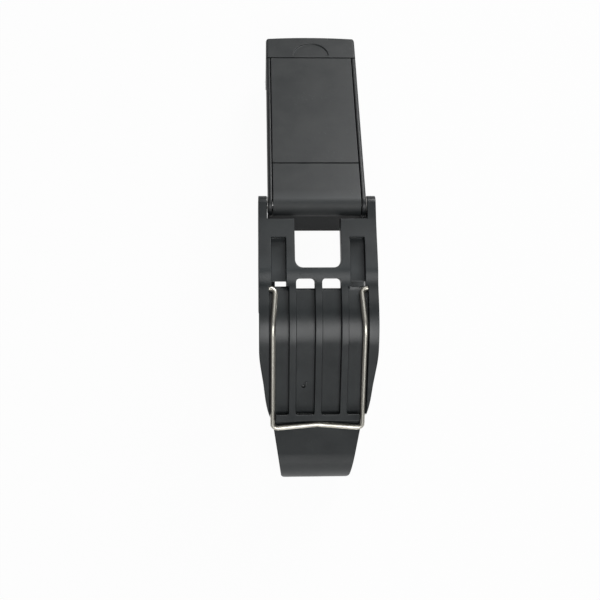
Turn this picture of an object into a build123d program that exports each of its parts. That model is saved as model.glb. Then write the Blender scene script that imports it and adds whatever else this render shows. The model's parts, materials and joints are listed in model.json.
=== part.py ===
from build123d import *
import os
from math import asin, atan2, cos, hypot, radians, sin, tan

# A spring clip that carries a phone. A ribbed bracket wraps what it is fitted to from back
# to front, and a sprung phone clamp tilts in the bracket's two ears.
# Millimetres, +Z up, +X to the right, +Y towards the far end of the clamp. The clip lies as
# it rests unheld, on the tip of its upper jaw and the bend of its lower hook, and the origin
# is under its middle, on the surface that it lies on.
os.makedirs("parts", exist_ok=True)

# Clamp: lengths run from the hinge axis towards the upper jaw, depths from the hinge axis
clamp_width = 30.4
barrel_radius = 3.6
body_depth = 9.4
housing_end = 60.0
head_length = 9.4
head_crown = 0.6
head_corner = 1.0
edge_round = 0.8
seam_gap = 0.4
jaw_reach = 11.4
jaw_thickness = 3.0
jaw_foot = 2.0
lip_rise = 1.8
lip_thickness = 1.3
jaw_tip_radius = 1.2
side_wall = 1.3
front_wall = 1.6
panel_wall = 1.5
cover_end = 13.7
panel_gap = 0.25
cover_gap = 0.4
slider_wall = 2.0
slider_clearance = 0.3
slider_flange = 1.4
slider_travel = 28.0
thumb_recess_width = 12.0
thumb_recess_height = 5.8
thumb_recess_depth = 0.4
thumb_recess_inset = 0.8
pad_thickness = 1.2
pad_inset = 0.5
spring_radius = 1.6
spring_bore = 1.1
spring_from_middle = 7.0
spring_closed = 5.0
stop_thickness = 2.0
stop_inset = 1.0
screw_radius = 1.0
screw_head_radius = 1.9
screw_head_height = 1.2
screw_head_clearance = 0.2
screw_sunk = 0.1
screw_length = 5.0
boss_radius = 2.3
boss_height = 1.8
cover_screw_along = 9.6
panel_screw_along = 18.0
clamp_fold = 32.0

# Hinge
pin_radius = 1.25
pin_running_clearance = 0.05
pin_press_clearance = 0.02
pin_recess = 0.2
washer_radius = 2.5
washer_thickness = 0.5
washer_seat = 0.3
washer_clearance = 0.1
ear_clearance = 0.3
ear_thickness = 2.7
ear_radius = 2.7

# Bracket: y runs from the hinge axis (0) down the back plate, z out of the plate
wall = 2.2
rib_height = 2.2
plate_edge = -4.6
crown_y = -36.4
crown_z = 10.9
crown_radius = 20.0
back_rise = 14.0
back_fall = 22.5
outer_rib_width = 3.1
inner_rib_width = 2.2
middle_rib_width = 2.2
rib_pitch = 7.95
pocket_top = -10.5
pocket_width = 4.5
window_width = 14.2
window_foot = -20.0
window_corner = 2.5
channel_corner = 0.6
slot_corner = 1.2
slot_top = -23.2
slot_foot = -26.2
slit_top = -24.1
slit_foot = -25.6
floor_ramp = 1.5
floor_drop = 0.7
channel_foot = -65.3
bar_foot = -67.4
taper_start = -45.0
taper_end = -69.0
wing_middle = -55.5
wing_middle_inset = 1.3
wing_foot = -63.0
wing_foot_inset = 2.4
tongue_width = 27.6
tongue_narrow = -80.0
tongue_narrow_width = 24.2
hook_width = 21.9
hook_pad_width = 18.0
hook_end = -87.7
hook_radius = 15.7
hook_corner = 1.8
heel_radius = 9.0
front_level = -35.5
lip_length = 16.7
body_top = -12.6
body_back_radius = 12.0
body_front_radius = 10.5
arm_radius = 17.7
arm_overlap = 4.0
front_frame_end = -37.0
front_bar_width = 5.5
front_strip_width = 5.7
front_corner = 4.0
front_pad_start = -25.0
gate_pit_aside = -4.5
gate_pit_along = -56.3
gate_pit_radius = 0.65
gate_pit_depth = 0.9
gate_nub_aside = -3.6
gate_nub_along = -55.4
gate_nub_radius = 0.5
gate_nub_height = 0.35

# Wire bail
wire_radius = 0.7
wire_clearance = 0.3
bail_pivot_y = -26.3
bail_hook_depth = 2.0
bail_top_half = 13.1
bail_half = 14.05
bail_corner_y = -69.7
bail_kink = 1.2
bail_crown_y = -38.2
bail_crown_lift = 1.3
bail_bend_radius = 1.6
bail_crown_radius = 8.0

half_clamp = clamp_width / 2
front_face = barrel_radius - body_depth
jaw_tip = front_face - jaw_reach
clamp_end = housing_end + seam_gap + head_length
stop_start = housing_end - stop_inset - stop_thickness
spring_start = stop_start - spring_closed - slider_travel
slider_foot = spring_start - stop_thickness
ear_inner = half_clamp + ear_clearance
half_width = ear_inner + ear_thickness
rib_inner = half_width - outer_rib_width

# The crown of the back plate: an arc between a rising and a falling run
rise = radians(90 - back_rise)
fall = radians(90 + back_fall)
crown_centre = (crown_y, crown_z - crown_radius)


def crown_point(angle, depth):
    """A point on the crown, so far below the rib tops."""
    reach = crown_radius - depth
    return (crown_centre[0] + reach * cos(angle), crown_centre[1] + reach * sin(angle))


def rise_height(y, depth):
    """Height of the run above the crown at y, so far below the rib tops."""
    start = crown_point(rise, depth)
    return start[1] - (y - start[0]) * tan(radians(back_rise))


def fall_height(y, depth):
    """Height of the run below the crown at y, so far below the rib tops."""
    start = crown_point(fall, depth)
    return start[1] + (y - start[0]) * tan(radians(back_fall))


# The hook: a wide bend off the tongue, a short drop and the heel that turns to the front
hook_centre_y = hook_end + hook_radius
hook_start_y = hook_centre_y + hook_radius * cos(fall)
hook_centre = (hook_centre_y, fall_height(hook_start_y, rib_height) - hook_radius * sin(fall))
heel_centre = (hook_end + heel_radius, front_level + heel_radius)
lip_end = hook_end + lip_length

# How the clip lies: the line that touches the heel and the tip of the upper jaw is level
fold = radians(clamp_fold)
tip_along = clamp_end - jaw_tip_radius
tip_out = jaw_tip + jaw_tip_radius
tip_centre = (
    tip_along * cos(fold) + tip_out * sin(fold),
    tip_out * cos(fold) - tip_along * sin(fold),
)
span_y = tip_centre[0] - heel_centre[0]
span_z = tip_centre[1] - heel_centre[1]
tilt = -atan2(span_z, span_y) - asin((heel_radius - jaw_tip_radius) / hypot(span_y, span_z))
hinge_height = heel_radius - heel_centre[0] * sin(tilt) - heel_centre[1] * cos(tilt)
far_end = clamp_end * cos(fold - tilt) + barrel_radius * sin(fold - tilt)
near_end = hook_centre[0] * cos(tilt) - hook_centre[1] * sin(tilt) - hook_radius
hinge_setback = -(far_end + near_end) / 2
hinge_point = (0, hinge_setback, hinge_height)

# Working planes. In a side plane x runs along the piece and y out of its back; in a top
# plane x runs across and y along the piece.
bracket_side = Plane(origin=hinge_point, x_dir=(0, cos(tilt), sin(tilt)), z_dir=(1, 0, 0))
bracket_top = Plane(origin=hinge_point, x_dir=(1, 0, 0), z_dir=(0, -sin(tilt), cos(tilt)))
lean = fold - tilt
clamp_side = Plane(origin=hinge_point, x_dir=(0, cos(lean), -sin(lean)), z_dir=(1, 0, 0))
clamp_top = Plane(origin=hinge_point, x_dir=(1, 0, 0), z_dir=(0, sin(lean), cos(lean)))
clamp_end_on = Plane(origin=hinge_point, x_dir=(1, 0, 0), z_dir=(0, cos(lean), -sin(lean)))

# Space above the channel floors: everything over the floor line, in the outline of the
# four channels and the two pockets
channel_half = rib_pitch - inner_rib_width / 2 - middle_rib_width / 2
channel_middle = middle_rib_width / 2 + channel_half / 2
outer_channel = rib_inner - rib_pitch - inner_rib_width / 2
outer_channel_middle = rib_inner - outer_channel / 2
over_ribs = crown_z + 10
slack = 1.0

with BuildPart() as channel_space:
    with BuildSketch(bracket_side):
        with BuildLine():
            top_start = (pocket_top, rise_height(pocket_top, rib_height))
            foot_end = (bar_foot - slack, fall_height(bar_foot - slack, rib_height))
            # below the slots and slits the floors start with a short ramp
            ramp_end = slit_foot - floor_ramp
            Polyline(
                top_start, (slit_foot, rise_height(slit_foot, rib_height)),
                (slit_foot, rise_height(slit_foot, rib_height + floor_drop)),
                (ramp_end, rise_height(ramp_end, rib_height)), crown_point(rise, rib_height),
            )
            ThreePointArc(
                crown_point(rise, rib_height),
                crown_point((rise + fall) / 2, rib_height),
                crown_point(fall, rib_height),
            )
            Line(crown_point(fall, rib_height), foot_end)
            Polyline(foot_end, (foot_end[0], over_ribs), (pocket_top, over_ribs), top_start)
        make_face()
    extrude(amount=half_width, both=True)
    with BuildSketch(bracket_top) as channel_plan:
        inner_length = (slot_top + slot_foot) / 2 - channel_foot
        outer_length = slit_foot - channel_foot
        for side in (-1, 1):
            with Locations((side * channel_middle, channel_foot + inner_length / 2)):
                Rectangle(channel_half, inner_length)
            with Locations((side * outer_channel_middle, channel_foot + outer_length / 2)):
                Rectangle(outer_channel, outer_length)
        fillet(channel_plan.vertices().group_by(Axis.Y)[0], radius=channel_corner)
        pocket_length = pocket_top - slit_foot + slack
        for side in (-1, 1):
            with Locations((side * outer_channel_middle, pocket_top - pocket_length / 2)):
                Rectangle(pocket_width, pocket_length)
            # the bail's legs pass the ends of the end bar
            with Locations((side * rib_inner, taper_end)):
                leg_gap = rib_inner - bail_half + wire_radius + wire_clearance
                leg_align = (Align.MAX if side > 0 else Align.MIN, Align.MIN)
                Rectangle(leg_gap, channel_foot - taper_end + slack, align=leg_align)
    extrude(amount=over_ribs, both=True, mode=Mode.INTERSECT)

with BuildPart() as bracket:
    # back plate, tongue and hook, as one bent band
    with BuildSketch(bracket_side):
        with BuildLine():
            plate_start = (plate_edge, rise_height(plate_edge, 0))
            bar_end = (bar_foot, fall_height(bar_foot, 0))
            bar_base = (bar_foot, fall_height(bar_foot, rib_height))
            hook_start = (hook_start_y, fall_height(hook_start_y, rib_height))
            middle_turn = (fall + radians(180)) / 2
            hook_middle = (
                hook_centre[0] + hook_radius * cos(middle_turn),
                hook_centre[1] + hook_radius * sin(middle_turn),
            )
            Line(plate_start, crown_point(rise, 0))
            ThreePointArc(
                crown_point(rise, 0), crown_point((rise + fall) / 2, 0), crown_point(fall, 0)
            )
            Polyline(crown_point(fall, 0), bar_end, bar_base, hook_start)
            ThreePointArc(hook_start, hook_middle, (hook_end, hook_centre[1]))
            Line((hook_end, hook_centre[1]), (hook_end, heel_centre[1]))
            RadiusArc((hook_end, heel_centre[1]), (heel_centre[0], front_level), -heel_radius)
            inside = rib_height + wall
            inner_level = front_level + wall
            inner_hook = hook_radius - wall
            inner_start = (
                hook_centre[0] + inner_hook * cos(fall), hook_centre[1] + inner_hook * sin(fall)
            )
            inner_middle = (
                hook_centre[0] + inner_hook * cos(middle_turn),
                hook_centre[1] + inner_hook * sin(middle_turn),
            )
            inner_end = hook_end + wall
            Polyline(
                (heel_centre[0], front_level), (lip_end, front_level), (lip_end, inner_level),
                (heel_centre[0], inner_level),
            )
            RadiusArc(
                (heel_centre[0], inner_level), (inner_end, heel_centre[1]), heel_radius - wall
            )
            Line((inner_end, heel_centre[1]), (inner_end, hook_centre[1]))
            ThreePointArc((inner_end, hook_centre[1]), inner_middle, inner_start)
            Line(inner_start, crown_point(fall, inside))
            ThreePointArc(
                crown_point(fall, inside),
                crown_point((rise + fall) / 2, inside),
                crown_point(rise, inside),
            )
            plate_inner = (plate_edge, rise_height(plate_edge, inside))
            Polyline(crown_point(rise, inside), plate_inner, plate_start)
        make_face()
    extrude(amount=half_width, both=True)
    # the band's outline from above, drawn for one side and mirrored
    with BuildSketch(bracket_top):
        with BuildLine():
            Polyline((0, ear_radius), (half_width, ear_radius), (half_width, taper_start))
            Spline(
                (half_width, taper_start),
                (half_width - wing_middle_inset, wing_middle),
                (half_width - wing_foot_inset, wing_foot),
                (tongue_width / 2, taper_end),
                tangents=((0, -1), (-0.4, -1)),
            )
            Polyline(
                (tongue_width / 2, taper_end), (tongue_narrow_width / 2, tongue_narrow),
                (hook_width / 2, hook_end), (0, hook_end), (0, ear_radius),
            )
        make_face()
        mirror(about=Plane.YZ)
        corners = vertices().group_by(Axis.Y)[0]
        fillet(corners.filter_by(lambda v: abs(v.X) > slack), radius=hook_corner)
    extrude(amount=2 * over_ribs + heel_radius, both=True, mode=Mode.INTERSECT)
    # ears and arms: side plates that pass over the top to the front
    back_centre_y = body_top - body_back_radius
    meet_y = back_centre_y + body_back_radius * cos(rise)
    back_centre_z = rise_height(meet_y, rib_height + wall) - body_back_radius * sin(rise)
    front_centre_z = front_level + wall + body_front_radius
    front_centre_y = body_top - body_front_radius
    for side in (-1, 1):
        with BuildSketch(bracket_side.offset(side * (ear_inner + ear_thickness / 2))):
            with BuildLine():
                Line((meet_y, rise_height(meet_y, 0)), (0, ear_radius))
                RadiusArc((0, ear_radius), (ear_radius, 0), ear_radius)
                arm_bend_z = front_level + arm_radius
                Line((ear_radius, 0), (ear_radius, arm_bend_z))
                RadiusArc((ear_radius, arm_bend_z), (ear_radius - arm_radius, front_level), arm_radius)
                Polyline(
                    (ear_radius - arm_radius, front_level),
                    (front_centre_y - arm_overlap, front_level),
                    (front_centre_y - arm_overlap, front_level + wall),
                    (front_centre_y, front_level + wall),
                )
                RadiusArc(
                    (front_centre_y, front_level + wall), (body_top, front_centre_z),
                    -body_front_radius,
                )
                Line((body_top, front_centre_z), (body_top, back_centre_z))
                back_middle = rise / 2
                meet_point = (meet_y, rise_height(meet_y, rib_height + wall))
                ThreePointArc(
                    (body_top, back_centre_z),
                    (
                        back_centre_y + body_back_radius * cos(back_middle),
                        back_centre_z + body_back_radius * sin(back_middle),
                    ),
                    meet_point,
                )
                Line(meet_point, (meet_y, rise_height(meet_y, 0)))
            make_face()
        extrude(amount=ear_thickness / 2, both=True)
    # front frame: two strips along the sides, joined by a bar below the opening
    with BuildSketch(bracket_side):
        with BuildLine():
            strip_end = (body_top, front_centre_z)
            Line((front_frame_end, front_level + wall), (front_centre_y, front_level + wall))
            RadiusArc(
                (front_centre_y, front_level + wall), strip_end, -body_front_radius
            )
            Line(strip_end, (body_top + wall, front_centre_z))
            RadiusArc(
                (body_top + wall, front_centre_z), (front_centre_y, front_level),
                body_front_radius + wall,
            )
            Polyline(
                (front_centre_y, front_level), (front_frame_end, front_level),
                (front_frame_end, front_level + wall),
            )
        make_face()
    front_band = extrude(amount=half_width, both=True, mode=Mode.PRIVATE)
    with BuildSketch(bracket_top, mode=Mode.PRIVATE) as frame_plan:
        frame_length = body_top + wall - front_frame_end
        with Locations((0, front_frame_end + frame_length / 2)):
            Rectangle(2 * half_width, frame_length)
        fillet(frame_plan.vertices().group_by(Axis.Y)[0], radius=front_corner)
        opening_half = half_width - front_strip_width
        opening_start = front_frame_end + front_bar_width
        opening_length = body_top + wall - opening_start
        with Locations((0, opening_start + opening_length / 2)):
            Rectangle(2 * opening_half, opening_length, mode=Mode.SUBTRACT)
    frame_prism = extrude(
        frame_plan.sketch, amount=2 * abs(front_level), both=True, mode=Mode.PRIVATE
    )
    add(front_band & frame_prism)
    add(channel_space.part, mode=Mode.SUBTRACT)
    # pit and nub that the mould's gate leaves on a channel floor
    floor_slope = tilt + radians(back_fall)
    floor_up = (0, -sin(floor_slope), cos(floor_slope))
    pit_level = fall_height(gate_pit_along, rib_height)
    pit_place = bracket_top.from_local_coords(Vector(gate_pit_aside, gate_pit_along, pit_level))
    with BuildSketch(Plane(origin=pit_place, x_dir=(1, 0, 0), z_dir=floor_up).offset(-gate_pit_depth)):
        Circle(gate_pit_radius)
    extrude(amount=2 * gate_pit_depth, mode=Mode.SUBTRACT)
    nub_level = fall_height(gate_nub_along, rib_height)
    nub_place = bracket_top.from_local_coords(Vector(gate_nub_aside, gate_nub_along, nub_level))
    with BuildSketch(Plane(origin=nub_place, x_dir=(1, 0, 0), z_dir=floor_up).offset(-gate_nub_height)):
        Circle(gate_nub_radius)
    extrude(amount=2 * gate_nub_height)
    # window, slots and slits go right through the plate
    with BuildSketch(bracket_top.offset(-2 * wall)):
        window_length = plate_edge + slack - window_foot
        with Locations((0, window_foot + window_length / 2)):
            window = Rectangle(window_width, window_length)
        fillet(window.vertices().group_by(Axis.Y)[0], radius=window_corner)
        for side in (-1, 1):
            with Locations((side * channel_middle, (slot_top + slot_foot) / 2)):
                slot = Rectangle(channel_half, slot_top - slot_foot)
            fillet(slot.vertices().group_by(Axis.Y)[-1], radius=slot_corner)
            with Locations((side * outer_channel_middle, (slit_top + slit_foot) / 2)):
                Rectangle(pocket_width, slit_top - slit_foot)
    extrude(amount=over_ribs, mode=Mode.SUBTRACT)
    # holes for the hinge pin and for the bail's hooked ends
    with BuildSketch(bracket_side):
        Circle(pin_radius + pin_press_clearance)
    extrude(amount=half_width, both=True, mode=Mode.SUBTRACT)
    bail_pivot_z = rise_height(bail_pivot_y, rib_height) + wire_radius + wire_clearance
    with BuildSketch(bracket_side):
        with Locations((bail_pivot_y, bail_pivot_z)):
            Circle(wire_radius + pin_running_clearance)
    extrude(amount=rib_inner + bail_hook_depth + wire_clearance, both=True, mode=Mode.SUBTRACT)

bracket.part.label = "bracket"
export_step(bracket.part, "parts/bracket.step")

with BuildPart() as hinge_pin:
    with BuildSketch(bracket_side):
        Circle(pin_radius)
    extrude(amount=half_width - pin_recess, both=True)
hinge_pin.part.label = "hinge_pin"
export_step(hinge_pin.part, "parts/hinge_pin.step")

# Soft pads inside the bracket, on the front strips and on the hook's lip
front_pad_width = front_strip_width - 2 * pad_inset
front_pad_length = front_pad_start - front_frame_end - 2 * pad_inset
for side, name in ((-1, "front_pad_left"), (1, "front_pad_right")):
    with BuildPart() as front_pad:
        with BuildSketch(bracket_top.offset(front_level + wall)):
            pad_middle = front_frame_end + pad_inset + front_pad_length / 2
            with Locations((side * (half_width - front_strip_width / 2), pad_middle)):
                Rectangle(front_pad_width, front_pad_length)
        extrude(amount=pad_thickness)
    front_pad.part.label = name
    export_step(front_pad.part, f"parts/{name}.step")

with BuildPart() as hook_pad:
    with BuildSketch(bracket_top.offset(front_level + wall)):
        hook_pad_length = lip_end - heel_centre[0] - pad_inset
        with Locations((0, heel_centre[0] + hook_pad_length / 2)):
            Rectangle(hook_pad_width, hook_pad_length)
    extrude(amount=pad_thickness)
hook_pad.part.label = "hook_pad"
export_step(hook_pad.part, "parts/hook_pad.step")


# Wire bail: straight runs joined by arcs
def corner_arc(before, corner, after, radius):
    """Start, middle and end of the arc that rounds a corner of the wire."""
    into = (corner - before).normalized()
    out = (after - corner).normalized()
    half_turn = radians(into.get_angle(out) / 2)
    cut = radius * tan(half_turn)
    sag = radius / cos(half_turn) - radius
    return corner - into * cut, corner + (out - into).normalized() * sag, corner + out * cut


corner_z = fall_height(bail_corner_y, rib_height) + wire_radius + 2 * wire_clearance
crown_corner_z = crown_z - rib_height + wire_radius + wire_clearance + bail_crown_lift
half_route = [
    (rib_inner + bail_hook_depth, bail_pivot_y, bail_pivot_z),
    (bail_top_half, bail_pivot_y, bail_pivot_z),
    (bail_half, bail_crown_y, crown_corner_z),
    (bail_half, bail_corner_y, corner_z),
    (0, bail_corner_y + bail_kink, corner_z + bail_kink * tan(radians(back_fall))),
]
other_half = [(-x, y, z) for x, y, z in reversed(half_route[:-1])]
route = [bracket_top.from_local_coords(Vector(*point)) for point in half_route + other_half]
bend_radii = [bail_bend_radius, bail_crown_radius, bail_bend_radius, bail_bend_radius * 2]
bend_radii += list(reversed(bend_radii[:-1]))

with BuildPart() as wire_bail:
    with BuildLine() as bail_path:
        run_start = route[0]
        for index, radius in enumerate(bend_radii):
            arc_start, arc_middle, arc_end = corner_arc(*route[index:index + 3], radius)
            Line(run_start, arc_start)
            ThreePointArc(arc_start, arc_middle, arc_end)
            run_start = arc_end
        Line(run_start, route[-1])
    with BuildSketch(Plane(bail_path.line @ 0, z_dir=bail_path.line % 0)):
        Circle(wire_radius)
    sweep(path=bail_path.line)
wire_bail.part.label = "wire_bail"
export_step(wire_bail.part, "parts/wire_bail.step")

# Outer form of the clamp: rounded rear edges and a slightly crowned far end
with BuildPart() as clamp_form:
    with BuildSketch(clamp_end_on.offset(-barrel_radius)):
        with Locations((0, -(barrel_radius + jaw_tip) / 2)):
            section = Rectangle(clamp_width, barrel_radius - jaw_tip)
        fillet(section.vertices().group_by(Axis.Y)[0], radius=edge_round)
    extrude(amount=barrel_radius + clamp_end)
    with BuildSketch(clamp_top) as clamp_plan:
        with BuildLine():
            crown_foot = clamp_end - head_crown
            Polyline(
                (-half_clamp, crown_foot), (-half_clamp, -barrel_radius),
                (half_clamp, -barrel_radius), (half_clamp, crown_foot),
            )
            ThreePointArc((half_clamp, crown_foot), (0, clamp_end), (-half_clamp, crown_foot))
        make_face()
        fillet(clamp_plan.vertices().filter_by(lambda v: v.Y > 0), radius=head_corner)
    extrude(amount=barrel_radius - jaw_tip, both=True, mode=Mode.INTERSECT)

# Clamp housing: front wall, side walls and lower jaw in one moulding
inner_half = half_clamp - side_wall
wall_back = front_face + front_wall
boss_face = wall_back + boss_height
cover_screw = (0, cover_screw_along)
panel_screw = (0, panel_screw_along)
with BuildPart() as clamp_housing:
    with BuildSketch(clamp_side) as housing_profile:
        with BuildLine():
            Line((housing_end, barrel_radius), (0, barrel_radius))
            ThreePointArc((0, barrel_radius), (-barrel_radius, 0), (0, -barrel_radius))
            Polyline(
                (0, -barrel_radius), (jaw_foot, front_face), (jaw_foot, jaw_tip),
                (jaw_foot + jaw_thickness + lip_rise, jaw_tip),
                (jaw_foot + jaw_thickness + lip_rise, jaw_tip + lip_thickness),
                (jaw_foot + jaw_thickness, jaw_tip + lip_thickness),
                (jaw_foot + jaw_thickness, front_face), (housing_end, front_face),
                (housing_end, barrel_radius),
            )
        make_face()
        tip_corners = housing_profile.vertices().sort_by(Axis.Y)[:2]
        fillet(tip_corners.sort_by(Axis.X)[0], radius=jaw_tip_radius)
    extrude(amount=half_clamp, both=True)
    add(clamp_form.part, mode=Mode.INTERSECT)
    # room for the hinge cover, the slider and the rear panel
    with BuildSketch(clamp_side):
        Polygon(
            (-2 * barrel_radius, wall_back), (housing_end + slack, wall_back),
            (housing_end + slack, barrel_radius + slack), (-2 * barrel_radius, barrel_radius + slack),
            align=None,
        )
    extrude(amount=inner_half, both=True, mode=Mode.SUBTRACT)
    # screw bosses inside and counterbored holes from the front
    with BuildSketch(clamp_top.offset(wall_back)):
        with Locations(cover_screw, panel_screw):
            Circle(boss_radius)
    extrude(amount=boss_face - wall_back)
    with BuildSketch(clamp_top.offset(front_face)):
        with Locations(cover_screw, panel_screw):
            Circle(screw_radius + pin_running_clearance)
    extrude(amount=boss_face - front_face, mode=Mode.SUBTRACT)
    with BuildSketch(clamp_top.offset(front_face)):
        with Locations(cover_screw, panel_screw):
            Circle(screw_head_radius + screw_head_clearance)
    extrude(amount=screw_head_height + screw_sunk, mode=Mode.SUBTRACT)
    # pin holes and the washers' seats in the side walls
    with BuildSketch(clamp_side):
        Circle(pin_radius + pin_running_clearance)
    extrude(amount=half_clamp, both=True, mode=Mode.SUBTRACT)
    for side in (-1, 1):
        with BuildSketch(clamp_side.offset(side * half_clamp)):
            Circle(washer_radius + washer_clearance)
        extrude(amount=-side * washer_seat, mode=Mode.SUBTRACT)
clamp_housing.part.label = "clamp_housing"
export_step(clamp_housing.part, "parts/clamp_housing.step")

with BuildPart() as friction_washers:
    for side in (-1, 1):
        with BuildSketch(clamp_side.offset(side * (half_clamp - washer_seat))):
            Circle(washer_radius)
            Circle(pin_radius + pin_running_clearance, mode=Mode.SUBTRACT)
        extrude(amount=side * washer_thickness)
friction_washers.part.label = "friction_washers"
export_step(friction_washers.part, "parts/friction_washers.step")

# Hinge cover: the lower rear cover with the round barrel that turns on the pin
cover_half = inner_half - panel_gap
cover_inside = barrel_radius - panel_wall
with BuildPart() as hinge_cover:
    with BuildSketch(clamp_side):
        Circle(barrel_radius)
        with Locations((cover_end / 2, barrel_radius - panel_wall / 2)):
            Rectangle(cover_end, panel_wall)
        Circle(pin_radius + pin_running_clearance, mode=Mode.SUBTRACT)
    extrude(amount=cover_half, both=True)
    with BuildSketch(clamp_top.offset(boss_face)):
        with Locations(cover_screw):
            Circle(boss_radius)
    extrude(amount=cover_inside - boss_face)
    with BuildSketch(clamp_top.offset(boss_face)):
        with Locations(cover_screw):
            Circle(screw_radius)
    extrude(amount=screw_length, mode=Mode.SUBTRACT)
hinge_cover.part.label = "hinge_cover"
export_step(hinge_cover.part, "parts/hinge_cover.step")

# Rear panel: flush cover over the slider, with the bar that the springs push against
panel_start = cover_end + cover_gap
slider_face = wall_back + slider_clearance
slider_back = slider_face + slider_wall
flange_half = inner_half - slider_clearance
stop_half = flange_half - slider_flange - slider_clearance
with BuildPart() as rear_panel:
    with BuildSketch(clamp_top.offset(barrel_radius - panel_wall)):
        with Locations((0, (panel_start + housing_end) / 2)):
            Rectangle(2 * cover_half, housing_end - panel_start)
    extrude(amount=panel_wall)
    with BuildSketch(clamp_top.offset(slider_back + slider_clearance)):
        with Locations((0, stop_start + stop_thickness / 2)):
            Rectangle(2 * stop_half, stop_thickness)
    extrude(amount=barrel_radius - panel_wall - slider_back - slider_clearance)
    with BuildSketch(clamp_top.offset(boss_face)):
        with Locations(panel_screw):
            Circle(boss_radius)
    extrude(amount=barrel_radius - panel_wall - boss_face)
    with BuildSketch(clamp_top.offset(boss_face)):
        with Locations(panel_screw):
            Circle(screw_radius)
    extrude(amount=screw_length, mode=Mode.SUBTRACT)
rear_panel.part.label = "rear_panel"
export_step(rear_panel.part, "parts/rear_panel.step")

# Two self-tapping screws, heads in the housing's front wall
with BuildPart() as housing_screws:
    with BuildSketch(clamp_top.offset(front_face + screw_sunk)):
        with Locations(cover_screw, panel_screw):
            Circle(screw_head_radius)
    extrude(amount=screw_head_height)
    with BuildSketch(clamp_top.offset(front_face + screw_sunk + screw_head_height)):
        with Locations(cover_screw, panel_screw):
            Circle(screw_radius)
    extrude(amount=screw_length)
housing_screws.part.label = "housing_screws"
export_step(housing_screws.part, "parts/housing_screws.step")

# Slider: channel-shaped plate inside the housing, head outside it, upper jaw on the head
head_start = housing_end + seam_gap
with BuildPart() as slider:
    with BuildSketch(clamp_top.offset(slider_face)):
        with Locations((0, (slider_foot + head_start) / 2)):
            Rectangle(2 * flange_half, head_start - slider_foot)
    extrude(amount=slider_wall)
    with BuildSketch(clamp_top.offset(slider_back)):
        with Locations((0, (slider_foot + head_start) / 2)):
            Rectangle(2 * flange_half, head_start - slider_foot)
        foot_wall = slider_foot + stop_thickness
        with Locations((0, (foot_wall + head_start) / 2)):
            Rectangle(2 * (flange_half - slider_flange), head_start - foot_wall, mode=Mode.SUBTRACT)
    extrude(amount=barrel_radius - panel_wall - slider_clearance - slider_back)
    with BuildSketch(clamp_side) as head_profile:
        Polygon(
            (head_start, barrel_radius), (clamp_end, barrel_radius), (clamp_end, jaw_tip),
            (clamp_end - jaw_thickness - lip_rise, jaw_tip),
            (clamp_end - jaw_thickness - lip_rise, jaw_tip + lip_thickness),
            (clamp_end - jaw_thickness, jaw_tip + lip_thickness),
            (clamp_end - jaw_thickness, front_face), (head_start, front_face),
            align=None,
        )
        tip_corners = head_profile.vertices().sort_by(Axis.Y)[:2]
        fillet(tip_corners.sort_by(Axis.X)[-1], radius=jaw_tip_radius)
    extrude(amount=half_clamp, both=True)
    add(clamp_form.part, mode=Mode.INTERSECT)
    # the head is cored out from below, behind the slider plate
    with BuildSketch(clamp_end_on.offset(head_start)):
        with Locations((0, -(slider_back + cover_inside) / 2)):
            Rectangle(2 * stop_half, cover_inside - slider_back)
    extrude(amount=head_length - jaw_thickness, mode=Mode.SUBTRACT)
    # shallow half-moon for the thumb in the rear of the head
    with BuildSketch(clamp_top.offset(barrel_radius - thumb_recess_depth)):
        with Locations((0, head_start + thumb_recess_inset)):
            Ellipse(thumb_recess_width / 2, thumb_recess_height)
            Rectangle(
                thumb_recess_width, thumb_recess_height, align=(Align.CENTER, Align.MAX),
                mode=Mode.SUBTRACT,
            )
    extrude(amount=slack, mode=Mode.SUBTRACT)
slider.part.label = "slider"
export_step(slider.part, "parts/slider.step")

# Springs in the slider's channel: they push its foot away from the panel's bar
spring_level = (slider_back + cover_inside) / 2
for side, name in ((-1, "spring_left"), (1, "spring_right")):
    with BuildPart() as spring:
        with BuildSketch(clamp_end_on.offset(spring_start)):
            with Locations((side * spring_from_middle, -spring_level)):
                Circle(spring_radius)
                Circle(spring_bore, mode=Mode.SUBTRACT)
        extrude(amount=stop_start - spring_start)
    spring.part.label = name
    export_step(spring.part, f"parts/{name}.step")

# Soft pads of the clamp
pad_start = jaw_foot + jaw_thickness + lip_rise + pad_inset
clamp_pad_width = clamp_width - 4 * pad_inset
with BuildPart() as rest_pad:
    with BuildSketch(clamp_top.offset(front_face - pad_thickness)):
        rest_end = housing_end - 2 * pad_inset
        with Locations((0, (pad_start + rest_end) / 2)):
            Rectangle(clamp_pad_width, rest_end - pad_start)
    extrude(amount=pad_thickness)
rest_pad.part.label = "rest_pad"
export_step(rest_pad.part, "parts/rest_pad.step")

jaw_pad_depth = jaw_reach - lip_thickness - pad_thickness - 2 * pad_inset
jaw_pad_middle = jaw_tip + lip_thickness + pad_inset + jaw_pad_depth / 2
for level, name in (
    (jaw_foot + jaw_thickness, "lower_jaw_pad"),
    (clamp_end - jaw_thickness - pad_thickness, "upper_jaw_pad"),
):
    with BuildPart() as jaw_pad:
        with BuildSketch(clamp_end_on.offset(level)):
            with Locations((0, -jaw_pad_middle)):
                Rectangle(clamp_pad_width, jaw_pad_depth)
        extrude(amount=pad_thickness)
    jaw_pad.part.label = name
    export_step(jaw_pad.part, f"parts/{name}.step")
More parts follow.
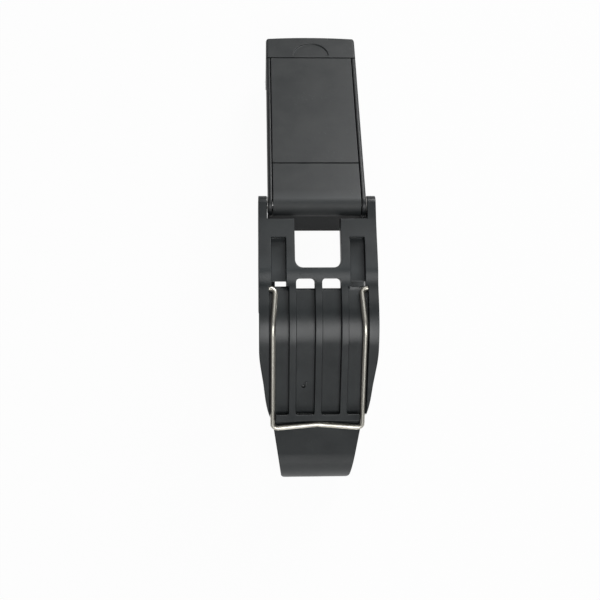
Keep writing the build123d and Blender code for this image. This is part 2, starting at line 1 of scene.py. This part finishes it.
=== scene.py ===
import bpy
import json
from math import radians
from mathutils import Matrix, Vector

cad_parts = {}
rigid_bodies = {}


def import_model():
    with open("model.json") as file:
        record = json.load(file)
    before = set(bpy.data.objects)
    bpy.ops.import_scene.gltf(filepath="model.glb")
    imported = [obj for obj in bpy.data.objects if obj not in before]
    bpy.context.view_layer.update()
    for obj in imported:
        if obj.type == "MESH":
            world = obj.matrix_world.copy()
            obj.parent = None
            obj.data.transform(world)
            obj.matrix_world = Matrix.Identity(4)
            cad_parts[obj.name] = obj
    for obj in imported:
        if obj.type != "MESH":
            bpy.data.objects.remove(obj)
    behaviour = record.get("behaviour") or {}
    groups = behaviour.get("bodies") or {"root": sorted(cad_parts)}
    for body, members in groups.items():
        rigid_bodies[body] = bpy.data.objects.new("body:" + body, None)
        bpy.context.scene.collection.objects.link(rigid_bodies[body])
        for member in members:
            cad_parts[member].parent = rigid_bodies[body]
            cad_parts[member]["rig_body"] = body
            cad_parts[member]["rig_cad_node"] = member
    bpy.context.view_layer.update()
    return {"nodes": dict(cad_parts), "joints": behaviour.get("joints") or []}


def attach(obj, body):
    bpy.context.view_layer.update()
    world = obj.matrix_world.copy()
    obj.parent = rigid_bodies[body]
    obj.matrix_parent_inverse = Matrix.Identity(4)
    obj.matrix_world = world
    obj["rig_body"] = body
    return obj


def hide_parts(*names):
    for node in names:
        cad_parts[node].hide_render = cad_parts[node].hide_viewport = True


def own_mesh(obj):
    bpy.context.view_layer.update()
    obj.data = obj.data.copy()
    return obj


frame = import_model()
scene = bpy.context.scene
scene.view_settings.view_transform = "Standard"
millimetre = 0.001
print("frame loaded,", len(frame["nodes"]), "nodes")


# selecting and finishing meshes

mergeValues = {
    "distance": 2e-6,
    "flatAngle": 0.6,        # degrees, faces closer than this become one
    "bevelAngle": 28,        # degrees, sharper edges than this are rounded
    "smoothAngle": 32,
    "normalWeight": 50,
}


def selectOnly(piece):
    if bpy.context.mode != "OBJECT":
        bpy.ops.object.mode_set(mode="OBJECT")
    bpy.ops.object.select_all(action="DESELECT")
    bpy.context.view_layer.objects.active = piece
    piece.select_set(True)


def applyModifier(piece, kind, **settings):
    selectOnly(piece)
    modifier = piece.modifiers.new(kind.lower(), kind)
    for name, value in settings.items():
        setattr(modifier, name, value)
    bpy.ops.object.modifier_apply(modifier=modifier.name)


def smoothByAngle(piece, degrees):
    selectOnly(piece)
    bpy.ops.object.shade_smooth_by_angle(angle=radians(degrees))


def mergedCopy(nodeName, pieceName, dissolve=True):
    # a copy of a CAD node with its loose triangles joined, into whole faces if asked
    node = frame["nodes"][nodeName]
    piece = node.copy()
    piece.data = node.data.copy()
    piece.parent = None
    piece.name = pieceName
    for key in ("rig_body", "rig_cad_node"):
        if key in piece:
            del piece[key]
    scene.collection.objects.link(piece)
    selectOnly(piece)
    bpy.ops.object.mode_set(mode="EDIT")
    bpy.ops.mesh.select_all(action="SELECT")
    bpy.ops.mesh.remove_doubles(threshold=mergeValues["distance"])
    if dissolve:
        bpy.ops.mesh.dissolve_limited(angle_limit=radians(mergeValues["flatAngle"]))
    bpy.ops.object.mode_set(mode="OBJECT")
    return piece


def softenEdges(piece, width, segments=2, crisp=()):
    # rounds every sharp edge, except inside the small crisp places
    selectOnly(piece)
    bpy.ops.object.mode_set(mode="EDIT")
    bpy.ops.mesh.select_mode(type="EDGE")
    bpy.ops.mesh.select_all(action="DESELECT")
    bpy.ops.mesh.edges_select_sharp(sharpness=radians(mergeValues["bevelAngle"]))
    bpy.ops.object.mode_set(mode="OBJECT")
    for edge in piece.data.edges:
        middle = sum((piece.data.vertices[index].co for index in edge.vertices), Vector()) / 2
        if any((middle - Vector(place)).length < reach for place, reach in crisp):
            edge.select = False
    bpy.ops.object.mode_set(mode="EDIT")
    bpy.ops.mesh.bevel(
        offset=width, segments=segments, affect="EDGES", clamp_overlap=False, miter_outer="ARC",
    )
    bpy.ops.object.mode_set(mode="OBJECT")
    smoothByAngle(piece, mergeValues["smoothAngle"])
    # flat faces keep their own normals, so only the narrow rounds shade
    weight = mergeValues["normalWeight"]
    applyModifier(piece, "WEIGHTED_NORMAL", mode="FACE_AREA", weight=weight, keep_sharp=True)


# material nodes

class Socket:
    # one output of a material's nodes; sums written on it add Math nodes

    def __init__(self, tree, link=None):
        self.tree = tree
        self.link = link

    def node(self, kind, settings=None, sockets=None, output=0):
        made = self.tree.nodes.new("ShaderNode" + kind)
        for name, value in (settings or {}).items():
            setattr(made, name, value)
        for name, value in (sockets or {}).items():
            if isinstance(value, Socket):
                self.tree.links.new(value.link, made.inputs[name])
            else:
                made.inputs[name].default_value = value
        return Socket(self.tree, made.outputs[output])

    def maths(self, operation, first, second=0.0):
        return self.node("Math", {"operation": operation}, {0: first, 1: second})

    def __add__(self, other):
        return self.maths("ADD", self, other)

    def __radd__(self, other):
        return self.maths("ADD", other, self)

    def __sub__(self, other):
        return self.maths("SUBTRACT", self, other)

    def __rsub__(self, other):
        return self.maths("SUBTRACT", other, self)

    def __mul__(self, other):
        return self.maths("MULTIPLY", self, other)


def newMaterial(name):
    material = bpy.data.materials.new(name)
    material.use_nodes = True
    tree = material.node_tree
    shader = tree.nodes["Principled BSDF"]
    return material, Socket(tree), shader


def feed(start, shader, values):
    for name, value in values.items():
        if isinstance(value, Socket):
            start.tree.links.new(value.link, shader.inputs[name])
        else:
            shader.inputs[name].default_value = value


def noise(start, place, scale, detail=2.0, roughness=0.5):
    sockets = {"Vector": place, "Scale": scale, "Detail": detail, "Roughness": roughness}
    return start.node("TexNoise", None, sockets)


def mixColours(start, factor, first, second):
    return start.node("Mix", {"data_type": "RGBA"}, {0: factor, 6: first, 7: second}, output=2)


def ramp(start, value, low, high):
    # 0 below low, 1 above high
    return start.node("MapRange", {"clamp": True}, {0: value, 1: low, 2: high, 3: 0.0, 4: 1.0})


def relief(start, height, strength, depth):
    return start.node("Bump", None, {"Strength": strength, "Distance": depth, "Height": height})


edgeLook = {
    "radius": 0.0004,            # metres
    "samples": 6,
    "shows": (0.015, 0.16),      # how far the normals part where wear starts and is full
}


def edgeMask(start):
    # 0 on a flat face, rising to 1 on a convex or hollow edge
    rounded = start.node("Bevel", {"samples": edgeLook["samples"]}, {"Radius": edgeLook["radius"]})
    flat = start.node("NewGeometry", output="True Normal")
    alike = start.node("VectorMath", {"operation": "DOT_PRODUCT"}, {0: rounded, 1: flat}, "Value")
    return ramp(start, 1.0 - alike, *edgeLook["shows"])


hairlineLook = {
    "width": 0.0004,             # metres
    "stretch": 0.035,            # width of a line as a share of its length
    "detail": 3.0,
    "roughness": 0.6,
    "shows": (0.62, 0.7),
    "patches": 130.0,            # per metre
    "patchShows": (0.5, 0.68),
}


def hairlines(start, place, turn, amount):
    # long thin scuffs that all run one way, in patches
    look = hairlineLook
    turned = start.node("Mapping", None, {"Vector": place, "Rotation": (0, 0, radians(turn))})
    sockets = {"Vector": turned, "Scale": (1, look["stretch"], 1)}
    stretched = start.node("Mapping", None, sockets)
    lines = noise(start, stretched, 1 / look["width"], look["detail"], look["roughness"])
    patches = ramp(start, noise(start, place, look["patches"]), *look["patchShows"])
    return ramp(start, lines, *look["shows"]) * patches * amount


plasticLooks = {
    "bracket": {
        "shade": (0.0115, 0.0145, 0.0158, 1),
        "pale": (0.0175, 0.0215, 0.0228, 1),
        "wearAndHighlight": (0.056, 0.063, 0.066, 1),
        "roughness": 0.375,
        "cloud": 95.0,             # patches per metre
        "grain": 0.00024,          # size of the mould's fine texture, in metres
        "grainDepth": 0.000009,
        "edgeWear": 0.32,
        "scuffs": 0.3,
        "scuffTurn": 20,
        # places along y, in metres: a painted highlight makes the crossbar paler
        "paintedHighlight": {"middle": -0.0112, "reach": 0.0055, "highlightShare": 0.55},
    },
    "clamp": {
        "shade": (0.0142, 0.0172, 0.0182, 1),
        "pale": (0.0235, 0.0262, 0.0268, 1),
        "wearAndHighlight": (0.067, 0.074, 0.077, 1),
        "roughness": 0.47,
        "cloud": 120.0,
        "grain": 0.0003,
        "grainDepth": 0.000013,
        "edgeWear": 0.28,
        "scuffs": 0.5,
        "scuffTurn": -35,
        # the barrel's roll is painted paler, a painted highlight, and rougher below
        "paintedHighlight": {"middle": 0.0114, "reach": 0.0028, "highlightShare": 0.34},
        "rougher": {"start": 0.0115, "end": 0.0095, "gain": 0.1},
    },
    "housing": {
        "shade": (0.0065, 0.008, 0.0088, 1),
        "pale": (0.01, 0.0118, 0.0126, 1),
        "wearAndHighlight": (0.05, 0.053, 0.055, 1),
        "roughness": 0.45,
        "cloud": 120.0,
        "grain": 0.0003,
        "grainDepth": 0.000012,
        "edgeWear": 0.2,
        "scuffs": 0.3,
        "scuffTurn": -35,
    },
}


plasticPatterns = {
    # noises, with patches per metre, and the values between which each one shows
    "clouds": {"detail": 4.0, "roughness": 0.6},
    "cloudShows": (0.35, 0.65),
    "grain": {"detail": 2.0, "roughness": 0.6},
    "smear": {"scale": 380.0, "detail": 3.0},
    "wearShows": (0.42, 0.62),
    "handled": {"scale": 210.0, "detail": 5.0, "roughness": 0.65},
    "handledShows": (0.52, 0.66),
    "dust": {"scale": 2600.0, "detail": 2.0},
    "dustShows": (0.68, 0.74),
    "dustyShows": (0.5, 0.6),
    "dustShare": 0.45,
    # what they add to the roughness and to the height
    "cloudRougher": 0.18,
    "scuffRougher": 0.1,
    "handledSmoother": 0.045,
    "smearHeight": 0.3,
    "scuffDepth": 0.4,
    "relief": 0.6,
    "refraction": 1.5,
}


def plastic(name, look):
    material, start, shader = newMaterial(name)
    patterns = plasticPatterns
    place = start.node("TexCoord", output="Object")
    clouds = noise(start, place, look["cloud"], **patterns["clouds"])
    grain = noise(start, place, 1 / look["grain"], **patterns["grain"])
    smear = noise(start, place, **patterns["smear"])
    handled = ramp(start, noise(start, place, **patterns["handled"]), *patterns["handledShows"])
    scuffs = hairlines(start, place, look["scuffTurn"], look["scuffs"])
    wear = edgeMask(start) * ramp(start, smear, *patterns["wearShows"]) * look["edgeWear"]
    cloudy = ramp(start, clouds, *patterns["cloudShows"])
    body = mixColours(start, cloudy, look["shade"], look["pale"])
    specks = ramp(start, noise(start, place, **patterns["dust"]), *patterns["dustShows"])
    dust = specks * ramp(start, smear, *patterns["dustyShows"])
    speckled = mixColours(start, dust * patterns["dustShare"], body, look["wearAndHighlight"])
    colour = mixColours(start, start.maths("MAXIMUM", wear, scuffs), speckled, look["wearAndHighlight"])
    roughness = look["roughness"] + (clouds - 0.5) * patterns["cloudRougher"]
    roughness = roughness + scuffs * patterns["scuffRougher"]
    roughness = roughness - handled * patterns["handledSmoother"]
    along = start.node("SeparateXYZ", None, {"Vector": place}, "Y")
    # painted highlight: a band across y, mixed towards the wear colour
    if "paintedHighlight" in look:
        paintedHighlight = look["paintedHighlight"]
        away = start.maths("ABSOLUTE", along - paintedHighlight["middle"])
        highlightBand = 1.0 - ramp(start, away, 0.0, paintedHighlight["reach"])
        colour = mixColours(start, highlightBand * paintedHighlight["highlightShare"], colour, look["wearAndHighlight"])
    if "rougher" in look:
        rougher = look["rougher"]
        share = 1.0 - ramp(start, along, rougher["end"], rougher["start"])
        roughness = roughness + share * rougher["gain"]
    height = grain + smear * patterns["smearHeight"] - scuffs * patterns["scuffDepth"]
    feed(start, shader, {
        "Base Color": colour, "Roughness": roughness, "IOR": patterns["refraction"],
        "Normal": relief(start, height, patterns["relief"], look["grainDepth"]),
    })
    return material


steelLooks = {
    "wire": {"bright": (0.69, 0.67, 0.6, 1), "dull": (0.47, 0.45, 0.38, 1), "roughness": 0.36},
    "plated": {"bright": (0.66, 0.66, 0.66, 1), "dull": (0.4, 0.4, 0.4, 1), "roughness": 0.3},
    "spring": {"bright": (0.58, 0.57, 0.56, 1), "dull": (0.3, 0.29, 0.28, 1), "roughness": 0.27},
}


steelPatterns = {
    "tarnish": {"scale": 190.0, "detail": 4.0, "roughness": 0.6},
    "dullShows": (0.45, 0.75),
    "dullShare": 0.45,
    "dullRougher": 0.14,
    "spots": {"scale": 1500.0, "detail": 2.0},
    "spotShows": (0.68, 0.78),
    "spotShare": 0.2,
    "spotRougher": 0.1,
    "relief": 0.1,
    "reliefDepth": 0.000002,
}


def steel(name, look):
    material, start, shader = newMaterial(name)
    patterns = steelPatterns
    place = start.node("TexCoord", output="Object")
    tarnish = noise(start, place, **patterns["tarnish"])
    dulled = ramp(start, tarnish, *patterns["dullShows"]) * patterns["dullShare"]
    fine = noise(start, place, **patterns["spots"])
    spots = ramp(start, fine, *patterns["spotShows"]) * patterns["spotShare"]
    colour = mixColours(start, start.maths("MAXIMUM", dulled, spots), look["bright"], look["dull"])
    roughness = look["roughness"] + dulled * patterns["dullRougher"]
    roughness = roughness + spots * patterns["spotRougher"]
    feed(start, shader, {
        "Base Color": colour, "Roughness": roughness, "Metallic": 1.0,
        "Normal": relief(start, tarnish, patterns["relief"], patterns["reliefDepth"]),
    })
    return material


foamLook = {
    "dark": (0.012, 0.012, 0.0125, 1),
    "pale": (0.022, 0.022, 0.023, 1),
    "dust": (0.06, 0.06, 0.06, 1),
    "clouds": {"scale": 160.0, "detail": 4.0},
    "cloudShows": (0.35, 0.7),
    "cells": 3000.0,             # per metre
    "dustShows": (0.55, 0.8),
    "dustShare": 0.3,
    "cellHeight": 0.7,
    "pressed": {"scale": 600.0, "detail": 3.0},
    "pressedHeight": 0.5,
    "pressedRougher": 0.14,
    "roughness": 0.84,
    "relief": 0.8,
    "reliefDepth": 0.00006,
}


def foam(name, look):
    material, start, shader = newMaterial(name)
    place = start.node("TexCoord", output="Object")
    cells = start.node("TexVoronoi", {"feature": "F1"}, {"Vector": place, "Scale": look["cells"]})
    clouds = noise(start, place, **look["clouds"])
    pressed = noise(start, place, **look["pressed"])
    colour = mixColours(start, ramp(start, clouds, *look["cloudShows"]), look["dark"], look["pale"])
    dust = ramp(start, cells, *look["dustShows"]) * look["dustShare"]
    height = cells * look["cellHeight"] + pressed * look["pressedHeight"]
    feed(start, shader, {
        "Base Color": mixColours(start, dust, colour, look["dust"]),
        "Roughness": look["roughness"] + (pressed - 0.5) * look["pressedRougher"],
        "Normal": relief(start, height, look["relief"], look["reliefDepth"]),
    })
    return material


nylonLook = {
    "dark": (0.2, 0.2, 0.19, 1),
    "pale": (0.32, 0.31, 0.29, 1),
    "clouds": {"scale": 500.0, "detail": 3.0},
    "cloudRougher": 0.2,
    "roughness": 0.4,
    "relief": 0.3,
    "reliefDepth": 0.00001,
}


def nylon(name, look):
    material, start, shader = newMaterial(name)
    place = start.node("TexCoord", output="Object")
    clouds = noise(start, place, **look["clouds"])
    feed(start, shader, {
        "Base Color": mixColours(start, clouds, look["dark"], look["pale"]),
        "Roughness": look["roughness"] + (clouds - 0.5) * look["cloudRougher"],
        "Normal": relief(start, clouds, look["relief"], look["reliefDepth"]),
    })
    return material


finishes = {
    "bracket": plastic("bracketPlastic", plasticLooks["bracket"]),
    "clamp": plastic("clampPlastic", plasticLooks["clamp"]),
    "housing": plastic("housingPlastic", plasticLooks["housing"]),
    "wire": steel("drawnWire", steelLooks["wire"]),
    "plated": steel("platedSteel", steelLooks["plated"]),
    "spring": steel("springSteel", steelLooks["spring"]),
    "foam": foam("foamRubber", foamLook),
    "nylon": nylon("greyNylon", nylonLook),
}
print("finishes made")


def dress(piece, finish):
    piece.data.materials.clear()
    piece.data.materials.append(finishes[finish])


def seat(piece, body, slotName, *nodes):
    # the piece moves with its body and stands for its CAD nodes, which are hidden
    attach(piece, body)
    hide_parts(*nodes)


# mouldings: the CAD forms with the small round that a mould leaves on each edge

mouldings = {
    # round is in millimetres; crisp is a place and a reach in metres, for the gate's pit and nub
    "bracket": {
        "piece": "bracketMoulding", "body": "bracket", "finish": "bracket", "round": 0.22,
        "crisp": [((-0.0042, -0.0459, 0.0404), 0.0021)],
    },
    "clamp_housing": {
        "piece": "housingMoulding", "body": "clamp", "finish": "housing", "round": 0.2,
    },
    "rear_panel": {"piece": "rearPanel", "body": "clamp", "finish": "clamp", "round": 0.16},
    "hinge_cover": {"piece": "barrelCover", "body": "clamp", "finish": "clamp", "round": 0.16},
    "slider": {"piece": "sliderMoulding", "body": "slider", "finish": "clamp", "round": 0.2},
}


backSwell = {
    # the plate's back swells a little above the window's foot, drops to the slots
    # and comes back level before the crown: places along y and lifts, in metres
    "knots": [(0.0045, 0.0), (-0.0108, 0.00085), (-0.0168, -0.0003), (-0.0226, 0.0)],
    "strips": [12, 12, 8],
    "level": 0.0484,         # height of the plate's back where y is 0
    "lean": -0.1243,         # and how it changes with y
    "plateEnd": 0.0054,
    "near": 0.0003,          # faces closer to the plate's back than this belong to it
    "facingUp": 0.9,         # least upward share of their normals
    "weld": 0.00003,
}


def swellAt(y):
    for (near, nearLift), (far, farLift) in zip(backSwell["knots"], backSwell["knots"][1:]):
        if far <= y <= near:
            share = (near - y) / (near - far)
            return nearLift + (farLift - nearLift) * share * share * (3 - 2 * share)
    return 0.0


def plateDepth(point):
    return point.z - backSwell["lean"] * point.y - backSwell["level"]


def cutPlaces():
    knots = [place for place, lift in backSwell["knots"]]
    places = [backSwell["plateEnd"], knots[-1]]
    for near, far, strips in zip(knots, knots[1:], backSwell["strips"]):
        places += [near + (far - near) * strip / strips for strip in range(strips)]
    return places


def swellBack(piece):
    # cuts the plate's back into narrow strips across it, levels them and lifts them
    mesh = piece.data
    near = backSwell["near"]
    selectOnly(piece)
    for place in cutPlaces():
        bpy.ops.object.mode_set(mode="EDIT")
        bpy.ops.mesh.select_mode(type="FACE")
        bpy.ops.mesh.select_all(action="DESELECT")
        bpy.ops.object.mode_set(mode="OBJECT")
        for face in mesh.polygons:
            upward = face.normal.z > backSwell["facingUp"]
            face.select = upward and abs(plateDepth(face.center)) < near
        bpy.ops.object.mode_set(mode="EDIT")
        bpy.ops.mesh.bisect(plane_co=(0, place, 0), plane_no=(0, 1, 0))
        bpy.ops.object.mode_set(mode="OBJECT")
    for vertex in mesh.vertices:
        depth = plateDepth(vertex.co)
        if abs(depth) < near:
            if depth > 0 and vertex.co.y <= backSwell["plateEnd"]:
                vertex.co.z -= depth
            vertex.co.z += swellAt(vertex.co.y)
    bpy.ops.object.mode_set(mode="EDIT")
    bpy.ops.mesh.select_all(action="SELECT")
    bpy.ops.mesh.remove_doubles(threshold=backSwell["weld"])
    bpy.ops.mesh.dissolve_degenerate(threshold=mergeValues["distance"])
    bpy.ops.object.mode_set(mode="OBJECT")


def makeMouldings():
    for nodeName, values in mouldings.items():
        piece = mergedCopy(nodeName, values["piece"])
        if nodeName == "bracket":
            swellBack(piece)
        softenEdges(piece, values["round"] * millimetre, crisp=values.get("crisp", ()))
        dress(piece, values["finish"])
        seat(piece, values["body"], "moulding", nodeName)
        print("moulding", nodeName, len(piece.data.polygons), "faces")


makeMouldings()


# pads: foam rubber with cut, rounded corners

pads = {
    "front_pad_left": {"piece": "frontPadLeft", "body": "bracket"},
    "front_pad_right": {"piece": "frontPadRight", "body": "bracket"},
    "hook_pad": {"piece": "hookPad", "body": "bracket"},
    "rest_pad": {"piece": "restPad", "body": "clamp"},
    "lower_jaw_pad": {"piece": "lowerJawPad", "body": "clamp"},
    "upper_jaw_pad": {"piece": "upperJawPad", "body": "slider"},
}
padCut = {
    "corner": 1.5,           # millimetres
    "cornerSegments": 7,
    "edge": 0.3,             # millimetres
    "edgeSegments": 3,
    "alike": 1.05,           # edges this close to the shortest one run through the thickness
}


def edgeLength(mesh, edge):
    first, second = (mesh.vertices[index].co for index in edge.vertices)
    return (first - second).length


def thinEdges(piece):
    # the short edges that run through a pad's thickness, at its four corners
    lengths = [edgeLength(piece.data, edge) for edge in piece.data.edges]
    longest = min(lengths) * padCut["alike"]
    return [length < longest for length in lengths]


def roundCorners(piece, width):
    selectOnly(piece)
    chosen = thinEdges(piece)
    bpy.ops.object.mode_set(mode="EDIT")
    bpy.ops.mesh.select_mode(type="EDGE")
    bpy.ops.mesh.select_all(action="DESELECT")
    bpy.ops.object.mode_set(mode="OBJECT")
    for edge, wanted in zip(piece.data.edges, chosen):
        edge.select = wanted
    bpy.ops.object.mode_set(mode="EDIT")
    bpy.ops.mesh.bevel(offset=width, segments=padCut["cornerSegments"], affect="EDGES")
    bpy.ops.object.mode_set(mode="OBJECT")


def makePads():
    for nodeName, values in pads.items():
        piece = mergedCopy(nodeName, values["piece"])
        roundCorners(piece, padCut["corner"] * millimetre)
        softenEdges(piece, padCut["edge"] * millimetre, padCut["edgeSegments"])
        dress(piece, "foam")
        seat(piece, values["body"], "pads", nodeName)
        print("pad", nodeName)


makePads()


# wire bail: the bent wire, smooth all along and a little thicker than the CAD's,
# apart from its two ends, which turn in the holes of the outer ribs

bailWire = {
    "gain": 0.14,            # millimetres on the radius
    "lower": 0.14,           # millimetres down, to stay under the CAD's top
    "endsFrom": 14.6,        # millimetres from the middle plane
    "smoothAngle": 40,
}


def makeBail():
    piece = mergedCopy("wire_bail", "wireBail", dissolve=False)
    for vertex in piece.data.vertices:
        if abs(vertex.co.x) < bailWire["endsFrom"] * millimetre:
            vertex.co += vertex.normal * bailWire["gain"] * millimetre
            vertex.co.z -= bailWire["lower"] * millimetre
    smoothByAngle(piece, bailWire["smoothAngle"])
    dress(piece, "wire")
    seat(piece, "bail", "wire", "wire_bail")
    print("bail", len(piece.data.polygons), "faces")


makeBail()


# coil springs behind the rear panel: a small circle turned about the spring's axis

coils = {"springLeft": "spring_left", "springRight": "spring_right"}
coilValues = {
    "wire": 0.24,            # radius, millimetres
    "wireSides": 10,
    "middle": 1.34,          # from the axis to the middle of the wire, millimetres
    "turns": 9.5,
    "stepsPerTurn": 26,
    "closedShare": 0.15,     # length when the jaw is out, as a share of the length at rest
    "smoothAngle": 50,
}


def clampDirection():
    # the way that the jaw slides, from the joint itself
    joint = [joint for joint in frame["joints"] if joint["name"] == "jaw_pull"][0]
    return Vector(joint["axis"]).normalized()


def makeCoil(name, nodeName):
    node = frame["nodes"][nodeName]
    along = clampDirection()
    points = [node.matrix_world @ vertex.co for vertex in node.data.vertices]
    reaches = [point.dot(along) for point in points]
    middle = sum(points, Vector()) / len(points)
    wire = coilValues["wire"] * millimetre
    low = min(reaches) + wire
    length = max(reaches) - min(reaches) - 2 * wire
    start = middle + along * (low - middle.dot(along))
    bpy.ops.object.select_all(action="DESELECT")
    bpy.ops.mesh.primitive_circle_add(
        vertices=coilValues["wireSides"], radius=wire, fill_type="NOTHING",
        location=(coilValues["middle"] * millimetre, 0, 0), rotation=(radians(90), 0, 0),
    )
    piece = bpy.context.active_object
    piece.name = name
    bpy.ops.object.transform_apply(location=True, rotation=True, scale=True)
    turns = coilValues["turns"]
    steps = int(turns * coilValues["stepsPerTurn"])
    applyModifier(
        piece, "SCREW", axis="Z", angle=radians(360 * turns), screw_offset=length,
        steps=steps, render_steps=steps, use_merge_vertices=False,
    )
    bpy.ops.object.mode_set(mode="EDIT")
    bpy.ops.mesh.select_all(action="SELECT")
    bpy.ops.mesh.fill_holes(sides=coilValues["wireSides"])       # the two cut ends
    bpy.ops.mesh.normals_make_consistent(inside=False)
    bpy.ops.object.mode_set(mode="OBJECT")
    piece.rotation_mode = "QUATERNION"
    piece.rotation_quaternion = Vector((0, 0, 1)).rotation_difference(along)
    piece.location = start
    selectOnly(piece)
    bpy.ops.object.transform_apply(location=True, rotation=True, scale=True)
    smoothByAngle(piece, coilValues["smoothAngle"])
    dress(piece, "spring")
    seat(piece, "clamp", "steel", nodeName)
    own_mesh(piece)
    print("spring", name, len(piece.data.polygons), "faces")


for coilName, springNode in coils.items():
    makeCoil(coilName, springNode)


# CAD nodes that stay: pin, screws and washers

for nodeName, finish in (
    ("hinge_pin", "plated"), ("housing_screws", "plated"), ("friction_washers", "nylon"),
):
    dress(frame["nodes"][nodeName], finish)
print("CAD nodes dressed")


# camera: over the bracket's back, a little to the left and below its middle

photoCamera = {
    "place": (-0.01932, -0.06299, 0.36528),
    "turn": (7.651, -2.390, -0.584),
    "lens": 63.13,
    "nearest": 0.01,
    "farthest": 20.0,
}


def makeCamera():
    data = bpy.data.cameras.new("photoCamera")
    camera = bpy.data.objects.new("photoCamera", data)
    scene.collection.objects.link(camera)
    data.lens = photoCamera["lens"]
    data.clip_start = photoCamera["nearest"]
    data.clip_end = photoCamera["farthest"]
    camera.location = photoCamera["place"]
    camera.rotation_euler = [radians(angle) for angle in photoCamera["turn"]]
    scene.camera = camera


makeCamera()


# floor and light

studio = {
    "floorSize": 4.0,
    "floorColour": (0.66, 0.66, 0.66, 1),
    "floorPatch": (0.8, 0.8, 0.8, 1),
    "patchShare": 0.03,
    "patches": 30.0,           # per metre
    "floorRoughness": 0.9,
    "floorGlow": 0.96,         # share of plain white that the camera sees in the floor
    "floorShine": 0.46,        # the same for what metal and gloss reflect
    "worldLight": 0.12,
    "lamps": {
        "nearCamera": {"place": (0.09, -0.35, 0.7), "size": 0.5, "power": 3.0},
        "upperRight": {"place": (0.31, 0.63, 0.44), "size": 0.4, "power": 4.3},
        "above": {"place": (0.0, 0.38, 0.66), "size": 0.3, "power": 0.3},
        "low": {"place": (0.0, -0.75, 0.14), "size": 0.4, "power": 0.6},
    },
}


def seenRays(start, camera, shine):
    # the camera's rays see one share, those that metal or glass sends on another
    seen = start.node("LightPath", output="Is Camera Ray")
    glossy = start.node("LightPath", output="Is Glossy Ray")
    through = start.node("LightPath", output="Is Transmission Ray")
    return start.maths("MAXIMUM", seen * camera, start.maths("MAXIMUM", glossy, through) * shine)


def makeFloor():
    bpy.ops.object.select_all(action="DESELECT")
    bpy.ops.mesh.primitive_plane_add(size=studio["floorSize"], location=(0, 0, 0))
    floor = bpy.context.active_object
    floor.name = "paleFloor"
    material, start, shader = newMaterial("palePaint")
    place = start.node("TexCoord", output="Object")
    tone = noise(start, place, studio["patches"]) * studio["patchShare"]
    feed(start, shader, {
        "Base Color": mixColours(start, tone, studio["floorColour"], studio["floorPatch"]),
        "Roughness": studio["floorRoughness"], "Specular IOR Level": 0.0,
    })
    glow = start.tree.nodes.new("ShaderNodeEmission")
    blend = start.tree.nodes.new("ShaderNodeMixShader")
    factor = seenRays(start, studio["floorGlow"], studio["floorShine"])
    start.tree.links.new(factor.link, blend.inputs[0])
    start.tree.links.new(shader.outputs[0], blend.inputs[1])
    start.tree.links.new(glow.outputs[0], blend.inputs[2])
    start.tree.links.new(blend.outputs[0], start.tree.nodes["Material Output"].inputs[0])
    floor.data.materials.append(material)


def makeWorld():
    world = bpy.data.worlds.new("paleRoom")
    world.use_nodes = True
    scene.world = world
    start = Socket(world.node_tree)
    background = world.node_tree.nodes["Background"]
    seen = start.node("LightPath", output="Is Camera Ray")
    strength = seen * (1.0 - studio["worldLight"]) + studio["worldLight"]
    world.node_tree.links.new(strength.link, background.inputs["Strength"])
    background.inputs["Color"].default_value = (1, 1, 1, 1)


def makeLamps():
    for name, values in studio["lamps"].items():
        data = bpy.data.lights.new(name, "AREA")
        data.shape = "DISK"
        data.size = values["size"]
        data.energy = values["power"]
        lamp = bpy.data.objects.new(name, data)
        scene.collection.objects.link(lamp)
        lamp.location = values["place"]
        lamp.rotation_euler = (-Vector(values["place"])).to_track_quat("-Z", "Y").to_euler()


makeFloor()
makeWorld()
makeLamps()
print("studio ready")
